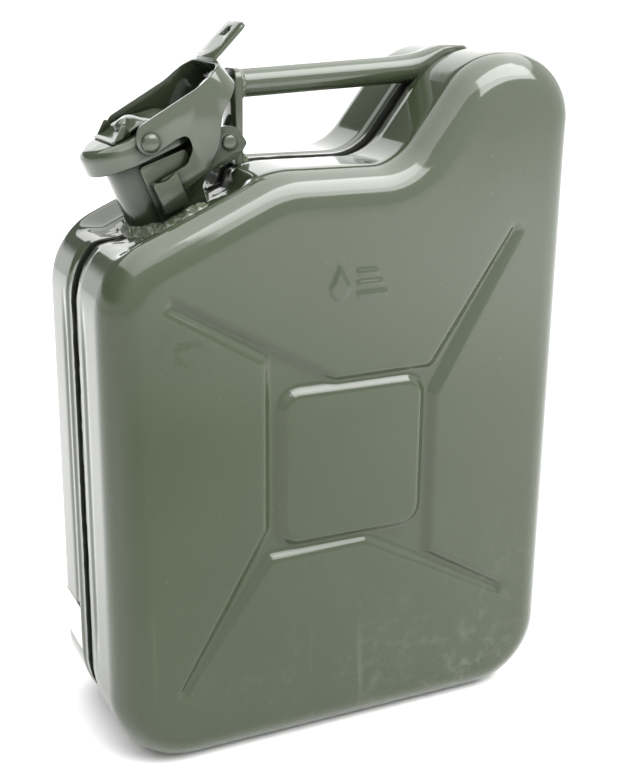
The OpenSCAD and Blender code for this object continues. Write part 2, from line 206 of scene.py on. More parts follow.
def ramp(nt, fac, stops):
    r = N(nt, "ShaderNodeValToRGB")
    el = r.color_ramp.elements
    while len(el) > 1:
        el.remove(el[0])
    el[0].position = stops[0][0]
    el[0].color = (*([stops[0][1]] * 3), 1) if not isinstance(stops[0][1], tuple) else (*stops[0][1], 1)
    for p, c in stops[1:]:
        e = el.new(p)
        e.color = (*([c] * 3), 1) if not isinstance(c, tuple) else (*c, 1)
    nt.links.new(fac, r.inputs[0])
    return r.outputs[0]


def math_n(nt, op, a, b=None, c=None, clamp=False):
    m = N(nt, "ShaderNodeMath", operation=op, use_clamp=clamp)
    for i, x in enumerate((a, b, c)):
        if x is None:
            continue
        if isinstance(x, (int, float)):
            m.inputs[i].default_value = x
        else:
            nt.links.new(x, m.inputs[i])
    return m.outputs[0]


def mix_c(nt, fac, a, b):
    m = N(nt, "ShaderNodeMix", data_type="RGBA")
    for i, x in ((0, fac), (6, a), (7, b)):
        if isinstance(x, (int, float)):
            m.inputs[i].default_value = x
        elif isinstance(x, tuple):
            m.inputs[i].default_value = (*x, 1)
        else:
            nt.links.new(x, m.inputs[i])
    return m.outputs[2]


def bumps(nt, bsdf, pairs):
    prev = None
    for h, strength, dist in pairs:
        b = N(nt, "ShaderNodeBump")
        b.inputs["Strength"].default_value = strength
        b.inputs["Distance"].default_value = dist
        nt.links.new(h, b.inputs["Height"])
        if prev is not None:
            nt.links.new(prev, b.inputs["Normal"])
        prev = b.outputs[0]
    nt.links.new(prev, bsdf.inputs["Normal"])


OLIVE = (0.036, 0.046, 0.026)
OLIVE_D = (0.032, 0.040, 0.023)


def paint(name, base=OLIVE, dust_and_painted_light=False, rough=0.10, peel=0.10, rust=0.0, painted_fold_shade=False):
    """Thick glossy stove enamel over pressed steel: slight tone drift, orange peel,
    faint rubbed haze, tiny chips, and where asked dust, a scuff, painted shade in the seam channel and in the folds,
    and a painted sheen that sets the gloss by place and facing."""
    m = bpy.data.materials.new(name)
    nt, b = nodes(m)
    co = N(nt, "ShaderNodeTexCoord").outputs["Object"]
    tone = noise_tex(nt, co, 9.0, 3.0)
    fine = noise_tex(nt, co, 260.0, 2.0)
    col = mix_c(nt, ramp(nt, tone, [(0.3, 0.0), (0.7, 1.0)]),
                tuple(c * 0.95 for c in base), tuple(c * 1.05 for c in base))
    specks = ramp(nt, noise_tex(nt, co, 520.0, 2.0), [(0.70, 0.0), (0.78, 1.0)])
    col = mix_c(nt, math_n(nt, "MULTIPLY", specks, 0.25), col, (0.14, 0.16, 0.11))
    r = math_n(nt, "ADD", math_n(nt, "MULTIPLY", ramp(nt, noise_tex(nt, co, 22.0, 5.0), [(0.35, 0.0), (0.8, 1.0)]), 0.10), rough)
    if dust_and_painted_light:
        # rubbed haze and dust, strongest low on the broad faces and in one scuffed patch
        sep = N(nt, "ShaderNodeSeparateXYZ")
        nt.links.new(co, sep.inputs[0])
        low = math_n(nt, "MULTIPLY", math_n(nt, "SUBTRACT", 0.13, sep.outputs["Z"]), 10.0, clamp=True)
        right = math_n(nt, "ADD", math_n(nt, "MULTIPLY", sep.outputs["X"], 4.0), 0.45, clamp=True)
        grit = ramp(nt, noise_tex(nt, co, 95.0, 6.0, 0.7, 0.4), [(0.50, 0.0), (0.72, 1.0)])
        cloud = ramp(nt, noise_tex(nt, co, 17.0, 3.0), [(0.42, 0.0), (0.66, 1.0)])
        d = math_n(nt, "MULTIPLY", math_n(nt, "MULTIPLY", math_n(nt, "MULTIPLY", grit, cloud), low), right)
        streak = ramp(nt, noise_tex(nt, co, 120.0, 3.0, 0.6, 0.0, (1.0, 1.0, 0.05)), [(0.62, 0.0), (0.75, 1.0)])
        d2 = math_n(nt, "MULTIPLY", math_n(nt, "MULTIPLY", streak, low), 0.12)
        dd = math_n(nt, "ADD", math_n(nt, "MULTIPLY", d, 0.32), d2, clamp=True)
        col = mix_c(nt, dd, col, (0.22, 0.24, 0.18))
        r = math_n(nt, "ADD", r, math_n(nt, "MULTIPLY", dd, 0.5))
        sc = N(nt, "ShaderNodeVectorMath", operation="DISTANCE")
        nt.links.new(co, sc.inputs[0])
        sc.inputs[1].default_value = (-0.100, -0.0625, 0.249)
        scuff = math_n(nt, "SUBTRACT", 1.0, math_n(nt, "MULTIPLY", sc.outputs["Value"], 52.0), clamp=True)
        sg = ramp(nt, noise_tex(nt, co, 210.0, 4.0, 0.75), [(0.50, 0.0), (0.56, 1.0)])
        scf = math_n(nt, "MULTIPLY", scuff, sg)
        col = mix_c(nt, math_n(nt, "MULTIPLY", scf, 0.7), col, (0.022, 0.030, 0.012))
        r = math_n(nt, "ADD", r, math_n(nt, "MULTIPLY", scf, 0.35))
        # painted shade: near-black colour and duller gloss down in the seam channel, standing for its shadow
        seam_channel_shade = math_n(nt, "SUBTRACT", 1.0, math_n(nt, "MULTIPLY", math_n(nt, "SUBTRACT", math_n(nt, "ABSOLUTE", sep.outputs["Y"]), 0.0052), 900.0), clamp=True)
        col = mix_c(nt, seam_channel_shade, col, (0.006, 0.007, 0.005))
        r = math_n(nt, "ADD", r, math_n(nt, "MULTIPLY", seam_channel_shade, 0.5))
        # painted sheen: on the broad faces the gloss is turned down low down and toward the spout side and up toward
        # the top and the far side; off them it rises on surfaces that face up, so the reflections brighten and darken
        # as the studio light would; the seam channel's painted shade dulls it too
        sn = N(nt, "ShaderNodeSeparateXYZ")
        nt.links.new(N(nt, "ShaderNodeNewGeometry").outputs["Normal"], sn.inputs[0])
        flat = math_n(nt, "SUBTRACT", math_n(nt, "MULTIPLY", math_n(nt, "ABSOLUTE", sn.outputs["Y"]), 4.0), 2.9, clamp=True)
        painted_sheen_up = math_n(nt, "ADD", math_n(nt, "MULTIPLY", math_n(nt, "MAXIMUM", sn.outputs["Z"], 0.0), 1.0), 0.52)
        rise = math_n(nt, "MULTIPLY", sep.outputs["Z"], 5.0, clamp=True)
        painted_sheen_across = math_n(nt, "MULTIPLY", math_n(nt, "MULTIPLY", sep.outputs["X"], 2.0), rise)
        high = math_n(nt, "MULTIPLY", math_n(nt, "MAXIMUM", math_n(nt, "SUBTRACT", sep.outputs["Z"], 0.2), 0.0), 4.0)
        k = math_n(nt, "MINIMUM", math_n(nt, "ADD", math_n(nt, "ADD", painted_sheen_across, high), 0.42), 1.3)
        k = math_n(nt, "ADD", math_n(nt, "MULTIPLY", k, flat), math_n(nt, "MULTIPLY", painted_sheen_up, math_n(nt, "SUBTRACT", 1.0, flat)))
        k = math_n(nt, "MULTIPLY", k, math_n(nt, "SUBTRACT", 1.0, math_n(nt, "MULTIPLY", seam_channel_shade, 0.9)))
        nt.links.new(math_n(nt, "MULTIPLY", k, 0.5), b.inputs["Specular IOR Level"])
        nt.links.new(math_n(nt, "MULTIPLY", k, 0.35), b.inputs["Coat Weight"])
    if rust:
        rs = ramp(nt, noise_tex(nt, co, 170.0, 5.0, 0.7, 0.3), [(0.66, 0.0), (0.72, 1.0)])
        col = mix_c(nt, math_n(nt, "MULTIPLY", rs, rust), col, (0.05, 0.04, 0.03))
    nt.links.new(col, b.inputs["Base Color"])
    nt.links.new(r, b.inputs["Roughness"])
    b.inputs["IOR"].default_value = 1.52
    if painted_fold_shade:
        # painted shade in the folds: colour and gloss drop toward near-black where ambient occlusion finds the sheet
        # closed in
        ao = N(nt, "ShaderNodeAmbientOcclusion", samples=6)
        ao.inputs["Distance"].default_value = 0.045
        k = ramp(nt, ao.outputs["AO"], [(0.42, 0.05), (0.92, 1.0)])
        col = mix_c(nt, k, (0.006, 0.008, 0.004), col)
        nt.links.new(math_n(nt, "MULTIPLY", k, 0.55), b.inputs["Specular IOR Level"])
        nt.links.new(math_n(nt, "MULTIPLY", k, 0.5), b.inputs["Coat Weight"])
        nt.links.new(col, b.inputs["Base Color"])
    elif not dust_and_painted_light:
        b.inputs["Coat Weight"].default_value = 0.35
    b.inputs["Coat Roughness"].default_value = 0.06
    bumps(nt, b, [(noise_tex(nt, co, 38.0, 2.0), peel, 0.0010), (fine, peel * 0.5, 0.0002)])
    return m


def weld_mat(name):
    m = bpy.data.materials.new(name)
    nt, b = nodes(m)
    co = N(nt, "ShaderNodeTexCoord").outputs["Object"]
    lump = noise_tex(nt, co, 420.0, 5.0, 0.65, 0.5)
    col = mix_c(nt, ramp(nt, lump, [(0.35, 0.0), (0.65, 1.0)]), (0.040, 0.050, 0.028), (0.10, 0.115, 0.08))
    pit = ramp(nt, noise_tex(nt, co, 700.0, 3.0, 0.6), [(0.60, 0.0), (0.66, 1.0)])
    col = mix_c(nt, math_n(nt, "MULTIPLY", pit, 0.8), col, (0.014, 0.015, 0.011))
    nt.links.new(col, b.inputs["Base Color"])
    nt.links.new(math_n(nt, "ADD", math_n(nt, "MULTIPLY", lump, 0.22), 0.05), b.inputs["Roughness"])
    b.inputs["Coat Weight"].default_value = 0.3
    bumps(nt, b, [(noise_tex(nt, co, 170.0, 3.0), 0.5, 0.0014), (lump, 0.25, 0.0005)])
    return m


# painted shade: the seam weld is coloured near-black with little gloss, standing for the shadow deep in the seam
# channel
def seam_shade_mat(name):
    m = bpy.data.materials.new(name)
    nt, b = nodes(m)
    co = N(nt, "ShaderNodeTexCoord").outputs["Object"]
    lump = noise_tex(nt, co, 420.0, 5.0, 0.65, 0.5)
    nt.links.new(mix_c(nt, lump, (0.005, 0.006, 0.004), (0.016, 0.019, 0.012)), b.inputs["Base Color"])
    nt.links.new(math_n(nt, "ADD", math_n(nt, "MULTIPLY", lump, 0.4), 0.35), b.inputs["Roughness"])
    b.inputs["Specular IOR Level"].default_value = 0.22
    bumps(nt, b, [(noise_tex(nt, co, 170.0, 3.0), 0.5, 0.0014), (lump, 0.25, 0.0005)])
    return m


def rubber_mat(name):
    m = bpy.data.materials.new(name)
    nt, b = nodes(m)
    co = N(nt, "ShaderNodeTexCoord").outputs["Object"]
    n = noise_tex(nt, co, 300.0, 4.0)
    nt.links.new(mix_c(nt, n, (0.018, 0.018, 0.018), (0.035, 0.034, 0.032)), b.inputs["Base Color"])
    nt.links.new(math_n(nt, "ADD", math_n(nt, "MULTIPLY", n, 0.2), 0.55), b.inputs["Roughness"])
    bumps(nt, b, [(n, 0.3, 0.0004)])
    return m


def label_mat(name):
    m = bpy.data.materials.new(name)
    nt, b = nodes(m)
    co = N(nt, "ShaderNodeTexCoord").outputs["Object"]
    n = noise_tex(nt, co, 240.0, 5.0, 0.7)
    col = mix_c(nt, ramp(nt, n, [(0.4, 0.0), (0.7, 1.0)]), (0.84, 0.84, 0.81), (0.70, 0.70, 0.66))
    nt.links.new(col, b.inputs["Base Color"])
    nt.links.new(math_n(nt, "ADD", math_n(nt, "MULTIPLY", n, 0.25), 0.35), b.inputs["Roughness"])
    bumps(nt, b, [(n, 0.2, 0.0003)])
    return m


# the body enamel carries painted shade in the seam channel and a painted sheen, the spout enamel painted shade in its
# folds, and the seam weld is painted near-black for the channel's shadow
M_BODY = paint("enamel_body_with_painted_light", OLIVE, dust_and_painted_light=True, rough=0.07, peel=0.06)
M_TRIM = paint("enamel_spout_painted_fold_shade", OLIVE, rough=0.10, peel=0.10, painted_fold_shade=True)
M_HANDLE = paint("enamel_handle", OLIVE, rough=0.08, peel=0.08)
M_RIVET = paint("enamel_rivets", OLIVE_D, rough=0.14, peel=0.2, rust=0.5)
M_WELD = weld_mat("painted_weld")
M_SEAM_SHADE = seam_shade_mat("seam_weld_painted_shade")
M_RUB = rubber_mat("gasket_rubber")
M_LABEL = label_mat("plain_label")

# ------------------------------------------------------------ body shells
B0, BN = outline(CORNERS, 2.4, 4.0)
NB = len(B0)


def seat(y):
    """How far the dished seat round the spout is pressed in, for each outline point."""
    x, z = B0[:, 0], B0[:, 1]
    on = (z > 200) & (x < -40)
    return np.where(on, 8.0 * sm((x + 131) / 17) * sm((-50 - x) / 9) * sm((50 - abs(y)) / 18), 0.0)


def h3(x, y, z, s, k=0):
    return noise.noise(Vector((x * s + 17.3 * k, y * s - 5.1 * k, z * s + 3.7 * k)))


# the pressing on the broad face, as a height field on a fine raster
POLY = [(-110, 97.5), (-105, 105.5), (-9.5, 52.3), (48, 53.5), (100, 129.5), (107.5, 126), (54.2, 32.8), (54.5, -63.6)]
POLY = np.array(POLY + [(-a, -b) for a, b in POLY]) + np.array([-0.5, 172.0])
RS = 0.8
RX0, RZ0 = -125.0, 25.0
RNX, RNZ = int(250 / RS), int(300 / RS)


def poly_sdf(px, pz, poly):
    """Signed distance, positive inside."""
    d = np.full(px.shape, 1e9)
    inside = np.zeros(px.shape, bool)
    n = len(poly)
    for i in range(n):
        a, b = poly[i], poly[(i + 1) % n]
        ex, ez = b[0] - a[0], b[1] - a[1]
        t = np.clip(((px - a[0]) * ex + (pz - a[1]) * ez) / (ex * ex + ez * ez), 0, 1)
        d = np.minimum(d, np.hypot(px - a[0] - t * ex, pz - a[1] - t * ez))
        c = ((a[1] > pz) != (b[1] > pz))
        with np.errstate(divide="ignore", invalid="ignore"):
            xi = a[0] + (pz - a[1]) / (b[1] - a[1] if b[1] != a[1] else 1e-9) * ex
        inside ^= c & (px < xi)
    return np.where(inside, d, -d)


def rbox(px, pz, cx, cz, hx, hz, r):
    qx = np.abs(px - cx) - (hx - r)
    qz = np.abs(pz - cz) - (hz - r)
    return np.hypot(np.maximum(qx, 0), np.maximum(qz, 0)) + np.minimum(np.maximum(qx, qz), 0) - r


def blur(a, sigma):
    k = int(3 * sigma / RS) + 1
    w = np.exp(-0.5 * (np.arange(-k, k + 1) * RS / sigma) ** 2)
    w /= w.sum()
    for ax in (0, 1):
        p = np.pad(a, [(k, k) if i == ax else (0, 0) for i in (0, 1)], mode="edge")
        a = sum(w[i] * (p[i:i + a.shape[0], :] if ax == 0 else p[:, i:i + a.shape[1]]) for i in range(2 * k + 1))
    return a


gx, gz = np.meshgrid(RX0 + RS * np.arange(RNX), RZ0 + RS * np.arange(RNZ), indexing="ij")
S_OUT = poly_sdf(gx, gz, POLY)
S_SQ = rbox(gx, gz, 0.4, 172.0, 41.6, 42.4, 9.0)
GROOVE = 4.0 * sm((S_OUT + 0.6) / 7.0) * sm((S_SQ + 0.6) / 6.2)
GROOVE = blur(GROOVE, 0.9)
# a plain raised drop and three level bars stand in for the capacity mark
dx, dz = gx + 10.0, gz - 272.0
drop = np.minimum(np.hypot(dx, dz) - 5.6,
                  np.where(dz > 0, np.abs(dx) - np.maximum(0.0, (13.0 - dz)) * 0.42, 9.0))
bars = np.minimum(np.minimum(rbox(gx, gz, 9.5, 268.2, 9.0, 1.5, 1.4), rbox(gx, gz, 8.0, 274.2, 7.5, 1.5, 1.4)),
                  rbox(gx, gz, 6.5, 280.2, 6.0, 1.5, 1.4))
EMB = blur(0.9 * sm((0.7 - np.minimum(drop, bars)) / 1.4), 0.45)
HEIGHT = GROOVE - EMB


def bilinear(px, pz):
    fx = np.clip((px - RX0) / RS, 0, RNX - 1.001)
    fz = np.clip((pz - RZ0) / RS, 0, RNZ - 1.001)
    i, j = fx.astype(int), fz.astype(int)
    a, b = fx - i, fz - j
    return (HEIGHT[i, j] * (1 - a) * (1 - b) + HEIGHT[i + 1, j] * a * (1 - b)
            + HEIGHT[i, j + 1] * (1 - a) * b + HEIGHT[i + 1, j + 1] * a * b)


def face_points(ring):
    """Grid points inside the ring: fine round the pressing, coarse elsewhere."""
    def sample(step, x0, x1, z0, z1, keep):
        xs, zs = np.meshgrid(np.arange(x0, x1, step), np.arange(z0, z1, step), indexing="ij")
        xs, zs = xs.ravel(), zs.ravel()
        k = keep(xs, zs)
        return np.stack([xs[k], zs[k]], 1)

    def near(xs, zs):
        s = np.minimum(np.abs(poly_sdf(xs, zs, POLY) - 3.2), np.abs(rbox(xs, zs, 0.4, 172.0, 41.6, 42.4, 9.0) - 2.8))
        return s

    fine = sample(1.25, -118, 118, 34, 310, lambda x, z: near(x, z) < 6.0)
    emb = sample(0.8, -19, 22, 262, 288, lambda x, z: np.ones_like(x, bool))
    far = sample(5.0, -120, 120, 20, 375,
                 lambda x, z: (near(x, z) > 7.0) & ~((x > -21) & (x < 24) & (z > 260) & (z < 290)))
    pts = np.concatenate([fine, emb, far])
    s = poly_sdf(pts[:, 0], pts[:, 1], ring)
    return pts[s > 2.0]


def shell(side, name, seed):
    lip = np.array([0.45 * h3(p[0], seed * 9.0, p[1], 0.16) + 0.25 * h3(p[0], seed * 4.0, p[1], 0.5) for p in B0])
    seam = [(0.0, 8.0), (1.4, 8.0), (2.0, 7.7), (2.2, 7.0), (2.25, 4.5), (2.3, 2.6), (2.45, 1.9), (2.9, 1.35), (3.6, 1.08), (4.6, 1.0),
            (7.0, 1.0), (9.6, 1.0), (10.6, 0.86), (11.6, 0.5), (12.6, 0.14), (13.6, 0.0), (14.8, 0)] + [(y, 0.0) for y in (16, 17.2, 18.4, 19.6, 20.8, 22, 23.5, 25.5, 28, 31, 34, 37, 40)]
    m = 14
    fil = [(HD - FIL + FIL * math.sin(a), FIL - FIL * math.cos(a)) for a in (math.pi / 2 * k / m for k in range(m + 1))]
    outer = seam + fil
    verts = []
    nx, nz = spout(NECK_U, 0, -45)[0], spout(NECK_U, 0, -45)[2]
    for yy, d in outer:
        st = seat(yy)
        e = np.maximum(d, st)
        if yy < 5:
            w = sm((8.0 - st) / 3.0) * (1.0 if 1.9 < yy < 5 else 0.0)
            e = e + lip * w
        # a shallow upright bead pressed in each side wall
        if 14 < yy < 27:
            wall = (np.abs(B0[:, 0]) > 139.9) & (B0[:, 1] > 44)
            e = e + np.where(wall, 0.9 * math.exp(-((yy - 19.4) / 2.3) ** 2) * sm((B0[:, 1] - 48) / 40) * sm((278 - B0[:, 1]) / 46), 0.0)
        q = B0 + BN * e[:, None]
        yj = np.full(NB, yy)
        # hammered metal round the weld
        r = np.hypot(np.hypot(q[:, 0] - nx, q[:, 1] - nz), yy)
        k = sm((46 - r) / 16) * (q[:, 1] > 250)
        for i in np.nonzero(k > 0.01)[0]:
            s = h3(q[i, 0], yy * side, q[i, 1], 0.11, seed) * 0.9 + h3(q[i, 0], yy * side, q[i, 1], 0.3, seed) * 0.35
            q[i] -= BN[i] * s * k[i] * 0.8
        verts.append(np.stack([q[:, 0], side * yj, q[:, 1]], 1))
    nr = len(outer)
    ring = verts[-1][:, [0, 2]]
    faces = []
    for k in range(nr - 1):
        for i in range(NB):
            j = (i + 1) % NB
            faces.append((k * NB + i, k * NB + j, (k + 1) * NB + j, (k + 1) * NB + i))
    V = np.concatenate(verts)
    # broad face
    inner = face_points(ring)
    pts = [Vector(p) for p in ring] + [Vector(p) for p in inner]
    vo, eo, fo, vi, ei, fi = delaunay_2d_cdt(pts, [], [list(range(NB))], 1, 1e-5)
    base = (nr - 1) * NB
    idx = {}
    extra = []
    for k, src in enumerate(vi):
        if src and src[0] < NB:
            idx[k] = base + src[0]
        else:
            idx[k] = len(V) + len(extra)
            extra.append((vo[k].x, vo[k].y))
    ex = np.array(extra)
    hgt = bilinear(ex[:, 0], ex[:, 1])
    sd = poly_sdf(ex[:, 0], ex[:, 1], ring)
    crown = 0.55 * sm(sd / 75.0)
    fy = side * (HD - hgt + crown)
    V = np.concatenate([V, np.stack([ex[:, 0], fy, ex[:, 1]], 1)])
    for f in fo:
        faces.append(tuple(idx[k] for k in f))
    # inside skin, so that the can is hollow
    b0 = len(V)
    inn = [(0.0, 9.2), (3.4, 9.2), (3.8, 2.4), (14, 1.6), (31, 1.6), (40, 1.6)] + [
        (HD - FIL + (FIL - 5.0) * math.sin(a), FIL - (FIL - 1.6) * math.cos(a) + 0.0) for a in (math.pi / 2 * k / 6 for k in range(7))]
    iv = []
    for yy, d in inn:
        q = B0 + BN * (np.maximum(d, seat(yy) + 1.6))[:, None]
        iv.append(np.stack([q[:, 0], np.full(NB, side * yy), q[:, 1]], 1))
    V = np.concatenate([V] + iv)
    for k in range(len(inn) - 1):
        for i in range(NB):
            j = (i + 1) % NB
            faces.append((b0 + k * NB + j, b0 + k * NB + i, b0 + (k + 1) * NB + i, b0 + (k + 1) * NB + j))
    last = b0 + (len(inn) - 1) * NB
    faces.append(tuple(last + i for i in range(NB)))
    for i in range(NB):
        j = (i + 1) % NB
        faces.append((j, i, b0 + i, b0 + j))
    me = bpy.data.meshes.new(name)
    me.from_pydata([tuple(c * MM for c in v) for v in V.tolist()], [], faces)
    me.validate()
    bm = bmesh.new()
    bm.from_mesh(me)
    bmesh.ops.recalc_face_normals(bm, faces=bm.faces)
    bm.to_mesh(me)
    bm.free()
    ob = bpy.data.objects.new(name, me)
    bpy.context.scene.collection.objects.link(ob)
    # the hole for the filler neck
    cut = bpy.data.meshes.new(name + "_cut")
    n = 72
    r = NECK_R - 0.6
    cv = [spout(NECK_U + r * math.cos(2 * math.pi * i / n), r * math.sin(2 * math.pi * i / n), v) for v in (-75, -20) for i in range(n)]
    cf = [tuple(range(n - 1, -1, -1)), tuple(range(n, 2 * n))] + [(i, (i + 1) % n, n + (i + 1) % n, n + i) for i in range(n)]
    cut.from_pydata([tuple(c * MM for c in v) for v in cv], [], cf)
    co = bpy.data.objects.new(name + "_cut", cut)
    bpy.context.scene.collection.objects.link(co)
    md = ob.modifiers.new("hole", "BOOLEAN")
    md.operation = "DIFFERENCE"
    md.solver = "EXACT"
    md.object = co
    apply_mods(ob)
    bpy.data.objects.remove(co)
    return ob


near = shell(-1, "near_pressed_shell", 1)
dress(near, M_BODY, "can", ("near_shell",), True, 42)
far = shell(1, "far_pressed_shell", 2)
dress(far, M_BODY, "can", ("far_shell",), True, 42)


# ------------------------------------------------------------ pieces refined from the CAD solids
def lathe(name, profile, origin, axis, mat, body, replaces=(), n=40, ob=None):
    """Solids of revolution. profile is [(r, h)], h along axis from origin (mm). Several placements may be given."""
    places = origin if isinstance(origin, list) else [(origin, axis)]
    V, F = [], []
    for o, ax in places:
        z = Vector(ax).normalized()
        x = z.orthogonal().normalized()
        y = z.cross(x)
        o = Vector(o)
        b = len(V)
        for r, h in profile:
            for i in range(n):
                t = 2 * math.pi * i / n
                V.append(o + z * h + (x * math.cos(t) + y * math.sin(t)) * max(r, 0.01))
        for k in range(len(profile) - 1):
            for i in range(n):
                j = (i + 1) % n
                F.append((b + k * n + i, b + k * n + j, b + (k + 1) * n + j, b + (k + 1) * n + i))
        F.append(tuple(b + i for i in range(n - 1, -1, -1)))
        F.append(tuple(b + (len(profile) - 1) * n + i for i in range(n)))
    return make(name, V, F, mat, body, replaces, True, 50)


def fix_normals(ob):
    bm = bmesh.new()
    bm.from_mesh(ob.data)
    bmesh.ops.recalc_face_normals(bm, faces=bm.faces)
    bm.to_mesh(ob.data)
    bm.free()
    return ob


def prism(name, poly, frame_fn, a, b):
    """A straight solid: poly in 2-D, frame_fn(p, q, w) gives its place, from w=a to w=b."""
    n = len(poly)
    V = [frame_fn(p[0], p[1], a) for p in poly] + [frame_fn(p[0], p[1], b) for p in poly]
    F = [tuple(range(n - 1, -1, -1)), tuple(range(n, 2 * n))]
    F += [(i, (i + 1) % n, n + (i + 1) % n, n + i) for i in range(n)]
    me = bpy.data.meshes.new(name)
    me.from_pydata([tuple(c * MM for c in v) for v in V], [], F)
    ob = bpy.data.objects.new(name, me)
    bpy.context.scene.collection.objects.link(ob)
    return fix_normals(ob)


def boolean(a, b, op):
    md = a.modifiers.new("b", "BOOLEAN")
    md.operation = op
    md.solver = "EXACT"
    md.object = b
    apply_mods(a)
    bpy.data.objects.remove(b)
    return a


def soften(ob, width=0.4, segs=2, ang=28, sharp=40):
    """Rounds the cut edges of a sheet-metal piece."""
    bm = bmesh.new()
    bm.from_mesh(ob.data)
    bmesh.ops.remove_doubles(bm, verts=bm.verts, dist=5e-6)
    bmesh.ops.dissolve_limit(bm, angle_limit=math.radians(0.5), verts=bm.verts, edges=bm.edges, delimit=set())
    bm.to_mesh(ob.data)
    bm.free()
    md = ob.modifiers.new("edge", "BEVEL")
    md.width = width * MM
    md.segments = segs
    md.limit_method = "ANGLE"
    md.angle_limit = math.radians(ang)
    md.use_clamp_overlap = True
    md.miter_outer = "MITER_ARC"
    apply_mods(ob)
    for p in ob.data.polygons:
        p.use_smooth = True
    ob.data.set_sharp_from_angle(angle=math.radians(sharp))
    return ob


def lumpy(node_names, name, mat, body, voxel=0.45, amp=0.25, scale=0.45, seed=3):
    """A weld: the CAD fillet remeshed finely and given the ripple of laid metal."""
    ob = refine_copy(node_names, name)
    md = ob.modifiers.new("r", "REMESH")
    md.mode = "VOXEL"
    md.voxel_size = voxel * MM
    md = ob.modifiers.new("s", "SMOOTH")
    md.iterations = 3
    md.factor = 0.5
    apply_mods(ob)
    me = ob.data
    for v in me.vertices:
        c = v.co / MM
        d = h3(c.x, c.y, c.z, scale, seed) + 0.6 * h3(c.x, c.y, c.z, scale * 2.7, seed + 1)
        v.co += v.normal * (d * amp + 0.15) * MM
    return dress(ob, mat, body, tuple(node_names), True)


def refine_copy(node_names, name):
    bm = bmesh.new()
    for n in node_names:
        bm.from_mesh(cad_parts[n].data)
    bmesh.ops.remove_doubles(bm, verts=bm.verts, dist=2e-6)
    me = bpy.data.meshes.new(name)
    bm.to_mesh(me)
    bm.free()
    ob = bpy.data.objects.new(name, me)
    bpy.context.scene.collection.objects.link(ob)
    return ob


def plate(node_names, name, mat, body, width=0.45, segs=2, ang=28, sharp=40):
    ob = refine_copy(node_names, name)
    soften(ob, width, segs, ang, sharp)
    return dress(ob, mat, body, tuple(node_names), smooth=False)


# ------------------------------------------------------------ seam bead
def seam_bead():
    nx, nz = PX + NECK_U * CT, PZ + NECK_U * ST
    dirx, dirz = -ST, CT
    keep = []
    for i, p in enumerate(B0):
        q = p + BN[i] * 7.5
        rx, rz = q[0] - nx, q[1] - nz
        off = abs(rx * dirz - rz * dirx)
        keep.append(not (off < 25.5 and q[1] > 250 and q[0] < -40))
    start = next(i for i in range(NB) if keep[i] and not keep[i - 1])
    idx = [(start + k) % NB for k in range(NB) if keep[(start + k) % NB]]
    # finer along the run
    pts, nr = [], []
    for a, b in zip(idx[:-1], idx[1:]):
        m = max(1, int(np.linalg.norm(B0[b] - B0[a]) / 1.5))
        for k in range(m):
            t = k / m
            pts.append(B0[a] * (1 - t) + B0[b] * t)
            v = BN[a] * (1 - t) + BN[b] * t
            nr.append(v / np.linalg.norm(v))
    V, F = [], []
    m = 8
    for i, (p, nn) in enumerate(zip(pts, nr)):
        w = 0.75 * h3(p[0], 0, p[1], 0.05, 5) + 0.35 * h3(p[0], 0, p[1], 0.22, 6)
        hgt = 1.3 + 0.6 * h3(p[0], 3, p[1], 0.30, 7) + 0.35 * h3(p[0], 3, p[1], 0.75, 8)
        for k in range(m):
            t = 2 * math.pi * k / m
            y = 0.55 * w + 1.35 * math.cos(t)
            d = 8.3 - hgt * (0.5 + 0.5 * math.sin(t))
            V.append((p[0] + nn[0] * d, y, p[1] + nn[1] * d))
    n = len(pts)
    for i in range(n - 1):
        for k in range(m):
            j = (k + 1) % m
            F.append((i * m + k, i * m + j, (i + 1) * m + j, (i + 1) * m + k))
    F.append(tuple(range(m - 1, -1, -1)))
    F.append(tuple((n - 1) * m + k for k in range(m)))
    return fix_normals(make("seam_bead", V, F, M_SEAM_SHADE, "can", ("seam_weld",)))


seam_bead()


